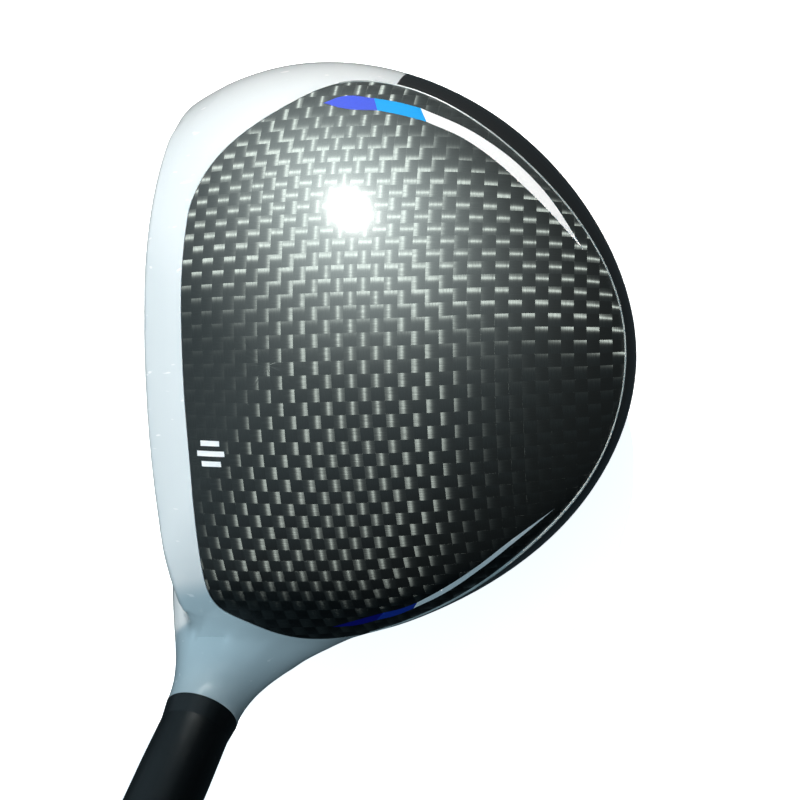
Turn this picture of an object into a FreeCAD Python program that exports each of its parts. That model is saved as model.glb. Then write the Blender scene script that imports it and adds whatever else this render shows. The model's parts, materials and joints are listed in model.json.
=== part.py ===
"""Golf driver: a hollow titanium head with carbon panels, an adjustable sleeve, a graphite
shaft and a rubber grip.

The club stands at address. The origin lies on the flat patch under the sole, +Z is up,
+X points to the heel, -Y points at the target and +Y to the rear of the head. Every piece
on the shaft line shares one placement: its own Z runs up the shaft from the ground.
"""

import FreeCAD, Part

import math
import os

import Sketcher
from FreeCAD import Placement, Rotation, Vector

SIZES = [
    # the club as a whole
    ("lie_angle", 58, "shaft line above the ground, degrees"),
    ("loft_angle", 10.5, "face leaning back from upright, degrees"),
    ("club_length", 1156, "along the shaft line from the ground to the grip's end"),
    ("shaft_ground_x", 34, "where the shaft line meets the ground, towards the heel"),
    # outer form of the head
    ("head_toe", 64.5, "origin to the toe"),
    ("head_heel", 56, "origin to the heel rim"),
    ("head_rear", 85.5, "origin to the rear rim"),
    ("head_front", 25, "origin to the front of the untrimmed form"),
    ("crown_height", 62.7, "top of the crown above the ground"),
    ("rim_rear", 27, "height of the widest line at the rear"),
    ("rim_front", 36, "height of the widest line at the front"),
    ("crown_peak_x", -4, "place of the crown's highest point"),
    ("crown_peak_y", 22, "place of the crown's highest point"),
    ("sole_low_y", 15, "place of the sole's lowest point"),
    ("sole_drop", 0.5, "how far the round sole is flattened at its lowest point"),
    ("face_radius", 305, "bulge and roll of the face"),
    ("face_height", 29, "height of the face centre"),
    ("face_forward", 13, "face centre ahead of the shaft line"),
    ("face_edge_round", 3, "rounding between the face and the rest of the head"),
    # walls and panels
    ("body_wall", 0.9, "cast shell"),
    ("face_wall", 3.2, "front of the shell round the face plate"),
    ("plate_wall", 3.0, "forged face plate"),
    ("plate_gap", 0.05, "weld line round the face plate"),
    ("panel_wall", 1.0, "carbon panels"),
    ("bond_wall", 0.2, "adhesive under the carbon panels"),
    ("ledge_wall", 1.2, "ledge that the panels are glued to"),
    ("ledge_width", 7, "ledge from the panel's edge inwards"),
    ("panel_gap", 0.15, "between a panel's edge and the shell"),
    ("score_width", 0.8, "face score lines"),
    ("score_depth", 0.3, "face score lines"),
    ("score_pitch", 4.2, "face score lines"),
    ("score_inner", 15, "score lines start this far from the face centre"),
    ("slot_front", 9, "middle of the sole slot ahead of the shaft line"),
    ("slot_width", 4, "sole slot"),
    ("slot_toe", 36, "end of the sole slot towards the toe"),
    ("slot_heel", 21, "end of the sole slot towards the heel"),
    ("slot_depth", 2.6, "slot filler, from the sole inwards"),
    # hosel
    ("hosel_length", 61.2, "ground to the hosel's top face along the shaft line"),
    ("hosel_radius", 7.5, "outside, at the top"),
    ("hosel_wall", 1.4, "tube inside the head"),
    ("sleeve_radius", 5.6, "part of the sleeve inside the hosel"),
    ("sleeve_fit", 0.05, "radial clearance of the sleeve in the hosel"),
    ("sleeve_depth", 32.2, "sleeve below its shoulder"),
    ("shoulder_gap", 0.05, "under the sleeve's shoulder"),
    ("spline_count", 12, "keys round the sleeve"),
    ("spline_reach", 0.6, "radial height of a key"),
    ("spline_width", 1.5, "width of a key"),
    ("spline_length", 7, "length of a key below the shoulder"),
    ("spline_fit", 0.08, "clearance round a key"),
    ("web_height", 24, "underside of the web that the bolt pulls on"),
    ("web_wall", 3, "web between the bolt port and the sleeve bore"),
    # hosel bolt, M5 x 0.8
    ("bolt_thread_radius", 2.44, "bolt shank"),
    ("bolt_fit", 0.06, "radial clearance of the shank in the sleeve"),
    ("bolt_hole_radius", 2.8, "hole in the web"),
    ("bolt_head_radius", 4.2, "bolt head"),
    ("bolt_head_length", 5, "bolt head"),
    ("bolt_grip", 8.8, "shank inside the sleeve"),
    ("bolt_travel", 9, "how far the bolt backs out before the retainer stops it"),
    ("washer_wall", 1, "washer under the bolt head"),
    ("washer_radius", 5.1, "washer under the bolt head"),
    ("retainer_wall", 0.8, "spring ring in the bolt port"),
    ("retainer_inner_radius", 3.6, "spring ring in the bolt port"),
    ("socket_radius", 2.4, "six-lobe wrench socket"),
    ("socket_depth", 3, "six-lobe wrench socket"),
    # sleeve above the hosel, ferrule, shaft
    ("collar_length", 12, "visible part of the sleeve"),
    ("collar_radius", 6.95, "visible part of the sleeve"),
    ("collar_flare", 3.5, "cone between the shoulder and the collar"),
    ("ferrule_length", 30, "plastic ferrule"),
    ("ferrule_taper", 16, "tapered end of the ferrule"),
    ("ferrule_lip", 0.5, "wall left at the ferrule's end"),
    ("ferrule_fit", 0.05, "radial clearance of the ferrule on the shaft"),
    ("tip_seat", 42, "shaft tip above the ground along the shaft line"),
    ("tip_radius", 4.25, "shaft tip"),
    ("tip_parallel", 75, "parallel stretch of the tip"),
    ("tip_bond", 0.12, "epoxy between the shaft and the sleeve"),
    ("butt_radius", 7.6, "shaft butt"),
    ("shaft_wall", 1.1, "graphite tube"),
    ("tip_plug_length", 6, "plug in the shaft tip"),
    # grip
    ("grip_length", 270, "rubber grip"),
    ("grip_mouth_radius", 8.7, "outside of the grip's thin end"),
    ("grip_mouth_bead", 4, "rounded bead at the mouth"),
    ("grip_butt_radius", 13.2, "outside under the cap"),
    ("cap_radius", 15.6, "cap at the grip's end"),
    ("cap_wall", 4, "rubber over the shaft's end"),
    ("cap_length", 9, "cap and the cone under it"),
    ("cap_round", 1.6, "rounding of the cap's edges"),
    ("vent_radius", 1.6, "hole in the cap"),
    ("tape_wall", 0.2, "tape between the shaft and the grip"),
    ("tape_margin", 3, "tape stops this far inside the grip's mouth"),
    # rear weight and its screw, M6 x 1
    ("weight_back", 74, "weight centre behind the shaft line"),
    ("weight_height", 13, "weight centre above the ground"),
    ("weight_tilt", 32.6, "weight axis leaning back from straight down, degrees"),
    ("weight_radius", 9.8, "weight"),
    ("weight_wall", 6, "thickness of the weight"),
    ("weight_sink", 1.6, "weight below the sole's surface at its centre"),
    ("weight_fit", 0.3, "between the weight and its pocket"),
    ("cup_wall", 1.4, "wall of the weight's pocket and of the screw boss"),
    ("screw_thread_radius", 2.94, "screw shank"),
    ("screw_fit", 0.06, "radial clearance of the screw in its boss"),
    ("screw_head_radius", 4.4, "screw head"),
    ("screw_head_length", 2.8, "screw head"),
    ("screw_grip", 7.8, "shank inside the boss"),
    # glue port in the sole
    ("port_back", 46, "glue port behind the shaft line"),
    ("port_radius", 3.2, "plug in the glue port"),
    ("port_depth", 4, "plug in the glue port"),
    ("port_sink", 0.4, "plug above the sole's surface"),
]

# Outlines in plan, as shares of the head's reach on that side (toe or heel, rear or front).
RIM = [
    (0.95, -0.84), (0.40, -1.0), (-0.28, -1.0), (-0.72, -0.72), (-1.0, 0.135), (-0.900, 0.570),
    (-0.508, 0.887), (-0.045, 0.994), (0.510, 0.846), (0.880, 0.520), (1.026, 0.250),
]
CROWN_PANEL = [
    (-0.487, 0.056), (-0.23, 0.049), (0.09, 0.050), (0.40, 0.054), (0.64, 0.044), (0.785, 0.057),
    (0.845, 0.104), (0.934, 0.192), (0.962, 0.30), (0.905, 0.445), (0.77, 0.61), (0.59, 0.755),
    (0.357, 0.887), (0.043, 0.963), (-0.20, 0.959), (-0.42, 0.889), (-0.636, 0.757),
    (-0.792, 0.614), (-0.876, 0.48), (-0.884, 0.357), (-0.806, 0.246), (-0.674, 0.119),
]
SOLE_PANEL_TOE = [
    (-0.45, 0.05), (-0.70, 0.10), (-0.85, 0.28), (-0.78, 0.50), (-0.56, 0.70), (-0.36, 0.74),
    (-0.29, 0.58), (-0.36, 0.34),
]
SOLE_PANEL_HEEL = [
    (0.52, 0.22), (0.74, 0.18), (0.85, 0.33), (0.77, 0.50), (0.54, 0.69), (0.37, 0.72),
    (0.30, 0.56), (0.40, 0.36),
]
# Face plate outline seen along the face's normal, as shares of its half width and half height.
FACE_PLATE = [
    (-1.0, 0.10), (-0.88, 0.62), (-0.58, 0.92), (-0.15, 1.0), (0.28, 0.88), (0.66, 0.56),
    (0.92, 0.12), (0.94, -0.28), (0.76, -0.66), (0.32, -0.86), (-0.20, -0.90), (-0.72, -0.72),
    (-0.95, -0.32),
]
FACE_PLATE_HALF_WIDTH = 47
FACE_PLATE_HALF_HEIGHT = 22
# Hosel fairing: height along the shaft line below the hosel's top, then how much further out
# than the hosel's radius it reaches on the heel, toe, rear and face sides.
FAIRING = [
    (0.0, 0.0, 0.0, 0.0, 0.0),
    (-6.5, 0.5, 0.4, 1.1, 1.3),
    (-14, 1.2, 3.3, 6.9, 4.6),
    (-22, 2.2, 10.0, 17.2, 8.4),
    (-30, 3.2, 19.5, 28.0, 11.6),
]

doc = FreeCAD.newDocument("golf_driver")
sheet = doc.addObject("Spreadsheet::Sheet", "Sizes")
for row, (alias, number, note) in enumerate(SIZES, start=1):
    sheet.set(f"A{row}", note)
    sheet.set(f"B{row}", str(number))
    sheet.setAlias(f"B{row}", alias)
doc.recompute()


def size(alias):
    """A driving size as a number, for shapes that are made in code."""
    return float(sheet.get(alias))


def cell(alias):
    """A driving size as it is written in an expression."""
    return f"Sizes.{alias}"


def value(expression):
    """What an expression gives now, to start a sketch near its final shape."""
    result = sheet.evalExpression(expression.replace("Sizes.", ""))
    return float(getattr(result, "Value", result))


# ---------------------------------------------------------------- placements

def on_shaft_line(thing):
    """Stand a body on the shaft line: its Z runs from the ground up the shaft."""
    thing.Placement = Placement(Vector(0, 0, 0), Rotation(Vector(0, 1, 0), 1))
    thing.setExpression("Placement.Base.x", cell("shaft_ground_x"))
    thing.setExpression("Placement.Rotation.Angle", "90 - Sizes.lie_angle")


def on_weight_axis(thing):
    """Stand a body on the rear weight's axis: its Z points out of the sole."""
    thing.Placement = Placement(Vector(0, 0, 0), Rotation(Vector(1, 0, 0), 1))
    thing.setExpression("Placement.Base.y", cell("weight_back"))
    thing.setExpression("Placement.Base.z", cell("weight_height"))
    thing.setExpression("Placement.Rotation.Angle", "180 + Sizes.weight_tilt")


def shaft_line():
    turn = Rotation(Vector(0, 1, 0), 90 - size("lie_angle"))
    return Placement(Vector(size("shaft_ground_x"), 0, 0), turn)


def weight_axis():
    turn = Rotation(Vector(1, 0, 0), 180 + size("weight_tilt"))
    return Placement(Vector(0, size("weight_back"), size("weight_height")), turn)


# ---------------------------------------------------------------- sketches and bodies

def sketch_on(body, name, plane):
    sketch = body.newObject("Sketcher::SketchObject", name)
    support = [item for item in body.Origin.OriginFeatures if item.Role == plane][0]
    sketch.AttachmentSupport = [(support, "")]
    sketch.MapMode = "FlatFace"
    return sketch


def polygon(sketch, corners):
    """Closed outline whose corners are pairs of expressions, each bound to the sheet."""
    places = [Vector(value(across), value(along), 0) for across, along in corners]
    count = len(places)
    for index in range(count):
        edge = Part.LineSegment(places[index], places[(index + 1) % count])
        sketch.addGeometry(edge, False)
    for index in range(count):
        joined = Sketcher.Constraint("Coincident", index, 2, (index + 1) % count, 1)
        sketch.addConstraint(joined)
    for index, pair in enumerate(corners):
        for kind, axis, expression in zip(("DistanceX", "DistanceY"), (-2, -1), pair):
            if expression == "0":
                sketch.addConstraint(Sketcher.Constraint("PointOnObject", index, 1, axis))
                continue
            place = value(expression)
            rule = sketch.addConstraint(Sketcher.Constraint(kind, -1, 1, index, 1, place))
            sketch.setExpression(f"Constraints[{rule}]", expression)


def turned(name, corners, place=on_shaft_line):
    """A lathe piece: an outline of (radius, height) pairs turned about its own Z."""
    body = doc.addObject("PartDesign::Body", name)
    profile = sketch_on(body, f"{name}_profile", "XZ_Plane")
    polygon(profile, corners)
    turn = body.newObject("PartDesign::Revolution", f"{name}_turn")
    turn.Profile = profile
    turn.ReferenceAxis = (profile, ["V_Axis"])
    turn.Angle = 360
    profile.Visibility = False
    place(body)
    return body


def raised_sketch(body, name, height):
    """A sketch square to the body's Z at a height that is an expression."""
    sketch = sketch_on(body, name, "XY_Plane")
    sketch.setExpression("AttachmentOffset.Base.z", height)
    return sketch


def star(radius):
    """Corners of a six-lobe wrench socket."""
    corners = []
    for step in range(12):
        share = 1.0 if step % 2 == 0 else 0.76
        angle = math.radians(30 * step)
        across = f"{radius} * {share * math.cos(angle):.5f}"
        along = f"{radius} * {share * math.sin(angle):.5f}"
        if abs(math.cos(angle)) < 1e-9:
            across = "0"
        if abs(math.sin(angle)) < 1e-9:
            along = "0"
        corners.append((across, along))
    return corners


def cut_down(body, name, sketch, depth, reversed_cut):
    """A pocket that has to take something away."""
    doc.recompute()
    before = body.Shape.Volume
    pocket = body.newObject("PartDesign::Pocket", name)
    pocket.Profile = sketch
    pocket.setExpression("Length", depth)
    pocket.Reversed = reversed_cut
    sketch.Visibility = False
    doc.recompute()
    if body.Shape.Volume >= before - 1e-6:
        raise RuntimeError(f"{name} cuts nothing")
    return pocket


# ---------------------------------------------------------------- free-form head

def rounded_outline(shares, inset=0.0):
    """Closed smooth curve through plan points given as shares, moved inwards by inset."""
    points = []
    for across, along in shares:
        reach_x = size("head_heel") if across > 0 else size("head_toe")
        reach_y = size("head_rear") if along > 0 else size("head_front")
        points.append(Vector(across * reach_x, along * reach_y, 0))
    return smooth_loop(points, inset)


def smooth_loop(points, inset=0.0):
    curve = Part.BSplineCurve()
    curve.interpolate(Points=points, PeriodicFlag=True)
    if inset == 0:
        return curve
    middle = Vector(0, 0, 0)
    for point in points:
        middle = middle + point * (1.0 / len(points))
    moved = []
    for point in points:
        along = curve.tangent(curve.parameter(point))[0]
        inwards = Vector(-along.y, along.x, 0).normalize()
        if inwards.dot(middle - point) < 0:
            inwards = inwards * -1
        moved.append(point + inwards * inset)
    return smooth_loop(moved)


def ease(share):
    share = min(1.0, max(0.0, share))
    return share * share * (3 - 2 * share)


def forward_share(y):
    """0 at the rear rim, 1 at the front of the untrimmed form."""
    share = (size("head_rear") - y) / (size("head_rear") + size("head_front"))
    return min(1.05, max(0.0, share))


def rim_height(y):
    rise = size("rim_front") - size("rim_rear")
    return size("rim_rear") + rise * forward_share(y) ** 1.3


def crown_row(point, depth):
    """From the crown's peak out to the rim: a curve that is level at the peak and upright
    at the rim."""
    peak = Vector(size("crown_peak_x"), size("crown_peak_y"), 0)
    top = size("crown_height") - depth
    rim = rim_height(point.y)
    row = [Vector(peak.x, peak.y, top)]
    for reach, lift in ((0.40, 1.0), (0.80, 0.72), (1.0, 0.25)):
        spot = peak + (point - peak) * reach
        row.append(Vector(spot.x, spot.y, rim + lift * (top - rim)))
    row.append(Vector(point.x, point.y, rim))
    return row


def sole_row(point, depth):
    """From the rim down to the sole's lowest point. The front stays low and flat, and the
    rear sweeps up."""
    low = Vector(0, size("sole_low_y"), 0)
    bottom = depth - size("sole_drop")
    rim = rim_height(point.y)
    front = ease((forward_share(point.y) - 0.35) / 0.6)
    row = [Vector(point.x, point.y, rim)]
    steps = (
        (1.0, 0.60 - 0.38 * front),
        (0.75 + 0.15 * front, 0.25 * (1 - front)),
        (0.40 + 0.10 * front, 0.0),
        (0.0, 0.0),
    )
    for reach, lift in steps:
        spot = low + (point - low) * reach
        row.append(Vector(spot.x, spot.y, bottom + lift * (rim - bottom)))
    return row


def head_form(depth):
    """The head's outer form, or the same form a depth further in, before the face is cut."""
    loop = rounded_outline(RIM, depth)
    faces = []
    for make_row in (crown_row, sole_row):
        net = [make_row(Vector(pole.x, pole.y, 0), depth) for pole in loop.getPoles()]
        surface = Part.BSplineSurface()
        surface.buildFromPolesMultsKnots(
            net, loop.getMultiplicities(), [5, 5], loop.getKnots(), [0, 1], True, False, 3, 4
        )
        faces.append(surface.toShape())
    solid = Part.makeSolid(Part.makeShell(faces))
    if solid.Volume < 0:
        solid.reverse()
    return solid


def face_place():
    """Frame of the face centre: Z out of the face, Y up the face."""
    turn = Rotation(Vector(1, 0, 0), 90 - size("loft_angle"))
    return Placement(Vector(0, -size("face_forward"), size("face_height")), turn)


def face_ball(depth):
    """The ball whose front is the face, or the back of a face wall of that depth."""
    centre = face_place().multVec(Vector(0, 0, -size("face_radius")))
    return Part.makeSphere(size("face_radius") - depth, centre)


def column(outline, low, high):
    """A closed plan outline extruded straight up between two heights."""
    wire = Part.Wire([outline.toShape()])
    wire.translate(Vector(0, 0, low))
    return Part.Face(wire).extrude(Vector(0, 0, high - low))


def fairing():
    """Hosel neck that spreads into the crown towards the toe and the rear."""
    rings = []
    radius = size("hosel_radius")
    for height, heel, toe, rear, front in FAIRING:
        points = []
        for step in range(16):
            angle = math.radians(22.5 * step)
            across = math.cos(angle)
            along = math.sin(angle)
            reach_x = radius + (heel if across > 0 else toe)
            reach_y = radius + (rear if along > 0 else front)
            level = size("hosel_length") + height
            points.append(Vector(reach_x * across, reach_y * along, level))
        rings.append(Part.Wire([smooth_loop(points).toShape()]))
    neck = Part.makeLoft(rings, True, False)
    neck.Placement = shaft_line()
    return neck


def rod(radius, low, high, place):
    """Cylinder along a placement's Z between two heights."""
    bar = Part.makeCylinder(radius, high - low, Vector(0, 0, low))
    bar.Placement = place
    return bar


def face_outline(inset):
    points = [
        Vector(across * FACE_PLATE_HALF_WIDTH, up * FACE_PLATE_HALF_HEIGHT, 0)
        for across, up in FACE_PLATE
    ]
    return smooth_loop(points, inset)


def face_column(inset):
    bar = column(face_outline(inset), -20, 10)
    bar.Placement = face_place()
    return bar


def slot_column(inset):
    half = size("slot_width") / 2 - inset
    start = -size("slot_toe") + size("slot_width") / 2
    end = size("slot_heel") - size("slot_width") / 2
    bar = Part.makeBox(end - start, 2 * half, 30, Vector(start, -half, -5))
    for x in (start, end):
        bar = bar.fuse(Part.makeCylinder(half, 30, Vector(x, 0, -5)))
    bar.translate(Vector(0, -size("slot_front"), 0))
    return bar.removeSplitter()


def spline_grooves():
    """Key ways at the top of the hosel bore."""
    fit = size("spline_fit")
    reach = size("sleeve_radius") + size("spline_reach") + fit
    width = size("spline_width") + 2 * fit
    low = size("hosel_length") - size("spline_length") - 0.3
    grooves = []
    for index in range(int(size("spline_count"))):
        box = Part.makeBox(reach, width, size("spline_length") + 5, Vector(0, -width / 2, low))
        box.rotate(Vector(0, 0, 0), Vector(0, 0, 1), 360 * index / size("spline_count"))
        grooves.append(box)
    star_bar = grooves[0].multiFuse(grooves[1:])
    star_bar.Placement = shaft_line()
    return star_bar


def trimmed_outer(neck):
    """The head's whole outer form: face cut, its edge rounded, hosel neck added, sole flat."""
    ball = face_ball(0)
    solid = head_form(0).common(ball)
    centre = face_place().multVec(Vector(0, 0, -size("face_radius")))
    front = []
    for edge in solid.Edges:
        middle = edge.valueAt((edge.FirstParameter + edge.LastParameter) / 2)
        start = edge.valueAt(edge.FirstParameter)
        on_ball = [abs((spot - centre).Length - size("face_radius")) < 0.01
                   for spot in (middle, start)]
        if all(on_ball) and edge.Length > 5:
            front.append(edge)
    solid = solid.makeFillet(size("face_edge_round"), front)
    solid = solid.fuse(neck)
    ground = Part.makeBox(400, 400, 50, Vector(-200, -200, -50))
    return solid.cut(ground)


PANELS = {
    "crown_panel": (CROWN_PANEL, 29, 90),
    "sole_panel_toe": (SOLE_PANEL_TOE, -5, 25),
    "sole_panel_heel": (SOLE_PANEL_HEEL, -5, 25),
}


def port_place():
    return Placement(Vector(0, size("port_back"), 0), Rotation())


def build_head():
    """Shapes of the shell and of everything that follows its outer surface."""
    neck = fairing()
    outer = trimmed_outer(neck)
    seat_depth = size("panel_wall") + size("bond_wall")
    wall_form = head_form(size("body_wall"))
    seat_form = head_form(seat_depth)
    ledge_form = head_form(seat_depth + size("ledge_wall"))
    inner_ball = face_ball(size("face_wall"))
    panel_layer = head_form(0).cut(head_form(size("panel_wall")))
    glue_layer = head_form(size("panel_wall")).cut(seat_form)

    shapes = {}
    rings = []
    openings = []
    for name, (shares, low, high) in PANELS.items():
        around = column(rounded_outline(shares, -1.5), low, high)
        inside = column(rounded_outline(shares, size("ledge_width")), low, high)
        rings.append(around.cut(inside))
        openings.append(column(rounded_outline(shares), low, high).cut(seat_form))
        piece = column(rounded_outline(shares, size("panel_gap")), low, high)
        shapes[name] = piece.common(panel_layer)
        glue = column(rounded_outline(shares, 0.5), low, high).common(glue_layer)
        shapes[name.replace("panel", "bond")] = glue.cut(inside)

    hollow = wall_form.common(inner_ball)
    hollow = hollow.cut(rings)
    core = ledge_form.common(inner_ball)

    line = shaft_line()
    bore = size("sleeve_radius") + size("sleeve_fit")
    tube = rod(bore + size("hosel_wall"), 0, size("hosel_length") - 1, line)
    axis = weight_axis()
    pocket_floor = -(size("weight_sink") + size("weight_wall") + 0.2)
    cup = rod(size("weight_radius") + size("weight_fit") + size("cup_wall"),
              pocket_floor - size("cup_wall"), 6, axis)
    boss_radius = size("screw_thread_radius") + size("screw_fit") + size("cup_wall")
    boss_floor = pocket_floor - size("screw_grip") - size("cup_wall")
    boss = rod(boss_radius, boss_floor, pocket_floor, axis)
    port = port_place()
    port_boss = rod(size("port_radius") + size("cup_wall"), 0, 10, port)
    posts = tube.multiFuse([cup, boss, port_boss]).common(outer)

    shell = outer.cut(hollow).cut(core).cut(openings).fuse(posts)

    top = size("hosel_length")
    web_low = size("web_height")
    web_high = web_low + size("web_wall")
    cutters = [
        rod(bore, web_high, top + 5, line),
        rod(bore, -10, web_low, line),
        rod(size("bolt_hole_radius"), web_low - 1, web_high + 1, line),
        spline_grooves(),
        rod(size("weight_radius") + size("weight_fit"), pocket_floor, 10, axis),
        rod(size("screw_thread_radius") + size("screw_fit"),
            pocket_floor - size("screw_grip"), pocket_floor + 1, axis),
        rod(size("port_radius") + 0.05, -5, 12, port),
        face_column(0),
        slot_column(0),
    ]
    shapes["head_body"] = shell.cut(cutters)

    plate = face_column(size("plate_gap")).common(face_ball(0))
    plate = plate.cut(face_ball(size("plate_wall")))
    shapes["face_plate"] = plate.cut(score_lines())
    filler = slot_column(size("plate_gap")).common(outer)
    shapes["slot_filler"] = filler.cut(head_form(size("slot_depth")))
    return shapes


def score_lines():
    """Shallow lines each side of the face centre, of one depth below the round face."""
    bars = []
    for index in range(-3, 3):
        up = (index + 0.5) * size("score_pitch")
        for side in (-1, 1):
            longest = 36 - 0.9 * abs(index + 0.5) * 4
            start = size("score_inner") if side > 0 else -longest
            length = longest - size("score_inner")
            corner = Vector(start, up - size("score_width") / 2, -20)
            bars.append(Part.makeBox(length, size("score_width"), 30, corner))
    lines = Part.makeCompound(bars)
    lines.Placement = face_place()
    skin = face_ball(-1).cut(face_ball(size("score_depth")))
    return lines.common(skin)


def add_free_form(name, shape):
    """A head piece whose surface is free-form."""
    feature = doc.addObject("Part::Feature", name)
    solids = shape.Solids
    feature.Shape = solids[0] if len(solids) == 1 else Part.makeCompound(solids)
    return feature


# ---------------------------------------------------------------- shaft line pieces

def shaft_radius(height):
    """The shaft's outer radius at a height on its tapered part, as an expression."""
    start = "(Sizes.tip_seat + Sizes.tip_parallel)"
    rise = "(Sizes.butt_radius - Sizes.tip_radius)"
    run = f"(Sizes.club_length - Sizes.cap_wall - {start})"
    return f"(Sizes.tip_radius + {rise} * ({height} - {start}) / {run})"


SHOULDER = "(Sizes.hosel_length + Sizes.shoulder_gap)"
SLEEVE_FOOT = "(Sizes.hosel_length - Sizes.sleeve_depth)"
COLLAR_TOP = "(Sizes.hosel_length + Sizes.collar_length)"
SHAFT_END = "(Sizes.club_length - Sizes.cap_wall)"
GRIP_MOUTH = "(Sizes.club_length - Sizes.grip_length)"


def make_sleeve():
    bore = "(Sizes.tip_radius + Sizes.tip_bond)"
    tapped = "(Sizes.bolt_thread_radius + Sizes.bolt_fit)"
    body = turned("loft_sleeve", [
        (tapped, SLEEVE_FOOT),
        ("Sizes.sleeve_radius", SLEEVE_FOOT),
        ("Sizes.sleeve_radius", SHOULDER),
        ("Sizes.hosel_radius", SHOULDER),
        ("Sizes.collar_radius", f"{SHOULDER} + Sizes.collar_flare"),
        ("Sizes.collar_radius", COLLAR_TOP),
        (bore, COLLAR_TOP),
        (bore, "Sizes.tip_seat"),
        (tapped, "Sizes.tip_seat"),
    ])
    low = f"{SHOULDER} - Sizes.spline_length"
    key = raised_sketch(body, "sleeve_key_outline", low)
    inner = "(Sizes.sleeve_radius - 0.3)"
    outer = "(Sizes.sleeve_radius + Sizes.spline_reach)"
    half = "Sizes.spline_width / 2"
    polygon(key, [(inner, f"-{half}"), (outer, f"-{half}"), (outer, half), (inner, half)])
    pad = body.newObject("PartDesign::Pad", "sleeve_key")
    pad.Profile = key
    pad.setExpression("Length", "Sizes.spline_length + 0.1")
    key.Visibility = False
    keys = body.newObject("PartDesign::PolarPattern", "sleeve_keys")
    keys.Originals = [pad]
    keys.Axis = (key, ["N_Axis"])
    keys.Angle = 360
    keys.setExpression("Occurrences", "Sizes.spline_count")
    body.Tip = keys
    return body


def make_ferrule():
    top = f"({COLLAR_TOP} + Sizes.ferrule_length)"
    bore = "(Sizes.tip_radius + Sizes.ferrule_fit)"
    return turned("ferrule", [
        (bore, COLLAR_TOP),
        ("Sizes.collar_radius", COLLAR_TOP),
        ("Sizes.collar_radius - 0.25", f"{top} - Sizes.ferrule_taper"),
        (f"{bore} + Sizes.ferrule_lip", top),
        (bore, top),
    ])


def make_shaft():
    parallel_end = "(Sizes.tip_seat + Sizes.tip_parallel)"
    inner_tip = "(Sizes.tip_radius - Sizes.shaft_wall)"
    inner_butt = "(Sizes.butt_radius - Sizes.shaft_wall)"
    return turned("shaft", [
        (inner_tip, "Sizes.tip_seat"),
        ("Sizes.tip_radius", "Sizes.tip_seat"),
        ("Sizes.tip_radius", parallel_end),
        ("Sizes.butt_radius", SHAFT_END),
        (inner_butt, SHAFT_END),
        (inner_tip, parallel_end),
    ])


def make_tip_bond():
    return turned("tip_bond", [
        ("Sizes.tip_radius", "Sizes.tip_seat"),
        ("Sizes.tip_radius + Sizes.tip_bond", "Sizes.tip_seat"),
        ("Sizes.tip_radius + Sizes.tip_bond", COLLAR_TOP),
        ("Sizes.tip_radius", COLLAR_TOP),
    ])


def make_tip_plug():
    radius = "(Sizes.tip_radius - Sizes.shaft_wall - 0.02)"
    return turned("tip_plug", [
        ("0", "Sizes.tip_seat + 0.2"),
        (radius, "Sizes.tip_seat + 0.2"),
        (radius, "Sizes.tip_seat + Sizes.tip_plug_length"),
        ("0", "Sizes.tip_seat + Sizes.tip_plug_length"),
    ])


def make_grip_tape():
    low = f"({GRIP_MOUTH} + Sizes.tape_margin)"
    high = f"({SHAFT_END} - 1)"
    return turned("grip_tape", [
        (shaft_radius(low), low),
        (f"{shaft_radius(low)} + Sizes.tape_wall", low),
        (f"{shaft_radius(high)} + Sizes.tape_wall", high),
        (shaft_radius(high), high),
    ])


def make_grip():
    low = f"({GRIP_MOUTH} + Sizes.tape_margin)"
    cap_low = "(Sizes.club_length - Sizes.cap_length)"
    cap_edge = "(Sizes.club_length - Sizes.cap_length / 2)"
    edge_round = "Sizes.cap_round"
    return turned("grip", [
        (f"{shaft_radius(GRIP_MOUTH)} + 0.05", GRIP_MOUTH),
        ("Sizes.grip_mouth_radius", GRIP_MOUTH),
        ("Sizes.grip_mouth_radius", f"{GRIP_MOUTH} + Sizes.grip_mouth_bead"),
        ("Sizes.grip_butt_radius", cap_low),
        ("Sizes.cap_radius", cap_edge),
        ("Sizes.cap_radius", f"Sizes.club_length - {edge_round}"),
        (f"Sizes.cap_radius - 0.3 * {edge_round}", f"Sizes.club_length - 0.3 * {edge_round}"),
        (f"Sizes.cap_radius - {edge_round}", "Sizes.club_length"),
        ("Sizes.vent_radius", "Sizes.club_length"),
        ("Sizes.vent_radius", SHAFT_END),
        (f"{shaft_radius(SHAFT_END)} + Sizes.tape_wall", SHAFT_END),
        (f"{shaft_radius(low)} + Sizes.tape_wall", low),
    ])


# ---------------------------------------------------------------- bolt and weight

BOLT_SEAT = "(Sizes.web_height - 0.05 - Sizes.washer_wall)"
POCKET_FLOOR = "(-Sizes.weight_sink - Sizes.weight_wall - 0.2)"
WEIGHT_TOP = "(-Sizes.weight_sink)"
WEIGHT_LOW = "(-Sizes.weight_sink - Sizes.weight_wall)"
SCREW_SEAT = "(-Sizes.weight_sink - 0.2 - Sizes.screw_head_length)"


def wrench_socket(body, name, height, reversed_cut, radius="Sizes.socket_radius"):
    outline = raised_sketch(body, f"{name}_outline", height)
    polygon(outline, star(radius))
    return cut_down(body, name, outline, "Sizes.socket_depth", reversed_cut)


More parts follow.
